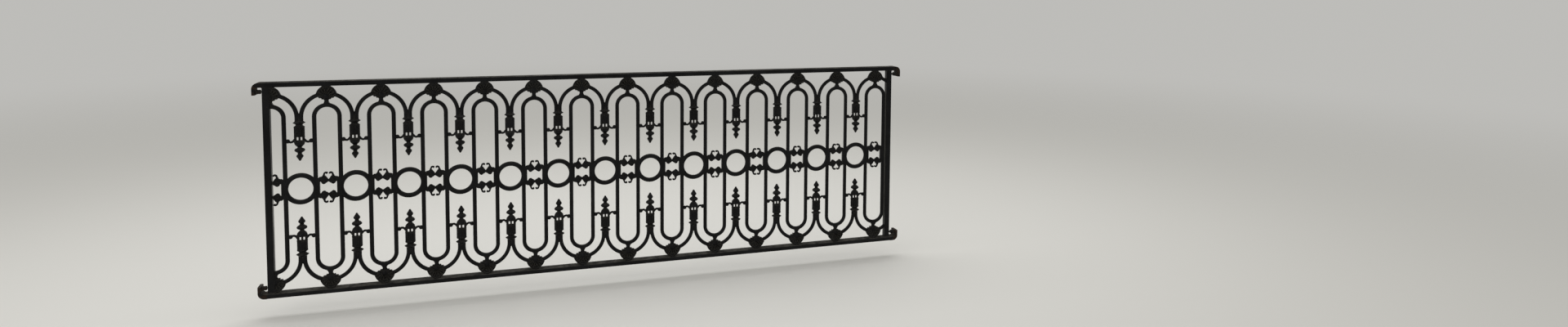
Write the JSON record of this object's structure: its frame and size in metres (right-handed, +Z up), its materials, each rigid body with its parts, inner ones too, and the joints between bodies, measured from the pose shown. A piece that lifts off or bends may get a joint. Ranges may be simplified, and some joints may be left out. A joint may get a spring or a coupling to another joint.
{
  "type": "balcony railing",
  "caption": "Black iron balcony railing fixed between two walls: looped bars with rings, pendants, finials, scrolls and bosses between two flat rails.",
  "frame": {"origin": "on the left wall face, at mid-depth of the railing, on the lower left bent end just below its bolt hole", "axes": "+X along the railing from the left wall to the right wall, +Y in towards the building, +Z up; the street side faces -Y"},
  "size_m": [2.961, 0.05, 0.916],
  "materials": {
    "painted_bar": "old black gloss paint, dusty on top",
    "painted_casting": "black paint over cast iron, worn to a soft sheen",
    "weathered_iron": "black paint with rust showing at the wall"
  },
  "bodies": {
    "root": {"top_rail": "painted_bar", "bottom_rail": "painted_bar", "wall_ends": "weathered_iron", "left_post": "painted_bar", "right_post": "painted_bar", "bay_casting_01": "painted_casting", "bay_casting_02": "painted_casting", "bay_casting_03": "painted_casting", "bay_casting_04": "painted_casting", "bay_casting_05": "painted_casting", "bay_casting_06": "painted_casting", "bay_casting_07": "painted_casting", "bay_casting_08": "painted_casting", "bay_casting_09": "painted_casting", "bay_casting_10": "painted_casting", "bay_casting_11": "painted_casting", "bay_casting_12": "painted_casting", "bay_casting_13": "painted_casting", "end_casting": "painted_casting", "pendant_01": "painted_casting", "pendant_02": "painted_casting", "pendant_03": "painted_casting", "pendant_04": "painted_casting", "pendant_05": "painted_casting", "pendant_06": "painted_casting", "pendant_07": "painted_casting", "pendant_08": "painted_casting", "pendant_09": "painted_casting", "pendant_10": "painted_casting", "pendant_11": "painted_casting", "pendant_12": "painted_casting", "pendant_13": "painted_casting", "finial_01": "painted_casting", "finial_02": "painted_casting", "finial_03": "painted_casting", "finial_04": "painted_casting", "finial_05": "painted_casting", "finial_06": "painted_casting", "finial_07": "painted_casting", "finial_08": "painted_casting", "finial_09": "painted_casting", "finial_10": "painted_casting", "finial_11": "painted_casting", "finial_12": "painted_casting", "finial_13": "painted_casting"}
  },
  "joints": []
}
